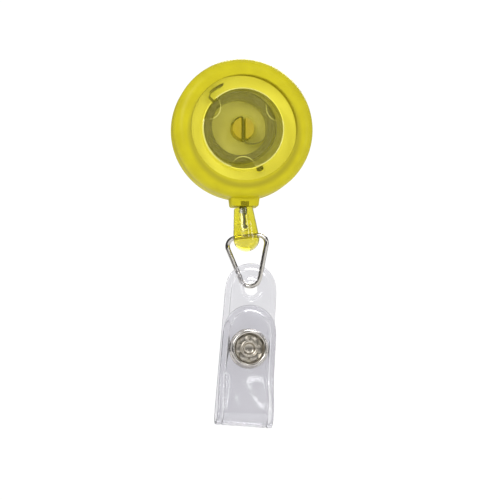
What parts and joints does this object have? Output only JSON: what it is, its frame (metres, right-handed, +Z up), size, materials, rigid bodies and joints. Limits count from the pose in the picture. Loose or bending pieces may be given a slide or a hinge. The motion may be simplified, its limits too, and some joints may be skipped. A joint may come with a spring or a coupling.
{
  "type": "retractable badge reel",
  "caption": "Retractable badge reel: round translucent case with a sprung spool and cord, cord-end fitting, triangular wire ring, snap-closed vinyl strap and a belt clip",
  "frame": {"origin": "on the spool's axis, at the face of the belt clip that lies against the belt", "axes": "+Z up, +X to the right seen from the front, the front faces -Y"},
  "size_m": [0.032, 0.0186, 0.0838],
  "materials": {
    "case_yellow": "frosted translucent plastic",
    "fitting_yellow": "glossy translucent plastic",
    "spool_plastic": "translucent plastic",
    "clear_plastic": "clear plastic",
    "nickel_plate": "polished nickel plate",
    "spring_steel": "spring steel",
    "black_cord": "braided nylon",
    "clear_vinyl": "clear flexible vinyl"
  },
  "bodies": {
    "case": {"front_shell": "case_yellow", "back_shell": "case_yellow", "belt_clip": "case_yellow", "cord_inner_run": "black_cord", "cord_outer_run": "black_cord"},
    "clip_tongue": {"belt_clip_tongue": "case_yellow"},
    "reel": {"spool": "spool_plastic", "spring_cover": "clear_plastic", "mainspring": "spring_steel", "cord_winding": "black_cord", "cord_anchor_knot": "black_cord"},
    "cord_end": {"cord_stopper_knot": "black_cord", "cord_tail": "black_cord"},
    "fitting": {"cord_end_fitting": "fitting_yellow"},
    "ring": {"wire_ring": "nickel_plate", "strap_tab": "clear_vinyl"},
    "strap": {"strap_back": "clear_vinyl", "strap_fold": "clear_vinyl", "snap_eyelet": "nickel_plate", "snap_stud": "nickel_plate"},
    "flap": {"strap_flap": "clear_vinyl", "snap_post": "nickel_plate", "snap_cup": "nickel_plate", "snap_socket": "nickel_plate", "socket_spring": "spring_steel"}
  },
  "joints": [
    {"name": "cord_pull", "type": "slide", "parent": "case", "child": "cord_end", "axis": [0, 0, -1], "range_m": [0, 0.56], "stiffness_N_per_m": 1, "springref_m": -0.6, "deforming": ["cord_outer_run"]},
    {"name": "spool_spin", "type": "hinge", "parent": "case", "child": "reel", "pos_m": [0, -0.006, 0], "axis": [0, -1, 0], "range_deg": [0, 4330], "deforming": ["mainspring"]},
    {"name": "clip_flex", "type": "hinge", "parent": "case", "child": "clip_tongue", "pos_m": [0, 0.0056, 0.011], "axis": [1, 0, 0], "range_deg": [0, 8], "stiffness_Nm_per_rad": 0.01, "springref_deg": -5.73},
    {"name": "fitting_twist", "type": "hinge", "parent": "cord_end", "child": "fitting", "pos_m": [0.00035, -0.006, -0.01785], "axis": [0.1011, 0, -0.9949], "continuous": true},
    {"name": "ring_swing", "type": "hinge", "parent": "fitting", "child": "ring", "pos_m": [0.00102, -0.006, -0.02447], "axis": [0.8616, -0.5, 0.0875], "range_deg": [-100, 65]},
    {"name": "strap_swing", "type": "hinge", "parent": "ring", "child": "strap", "pos_m": [0.00216, -0.006, -0.0357], "axis": [0.9976, 0, -0.0698], "range_deg": [-45, 45], "deforming": ["strap_tab"]},
    {"name": "flap_open", "type": "hinge", "parent": "strap", "child": "flap", "pos_m": [-0.00004, -0.00885, -0.06723], "axis": [0.9976, 0, -0.0698], "range_deg": [0, 120], "deforming": ["strap_fold", "socket_spring"]}
  ],
  "couplings": [
    {"joint": "spool_spin", "follows": "cord_pull", "rad_per_m": 134.64}
  ]
}
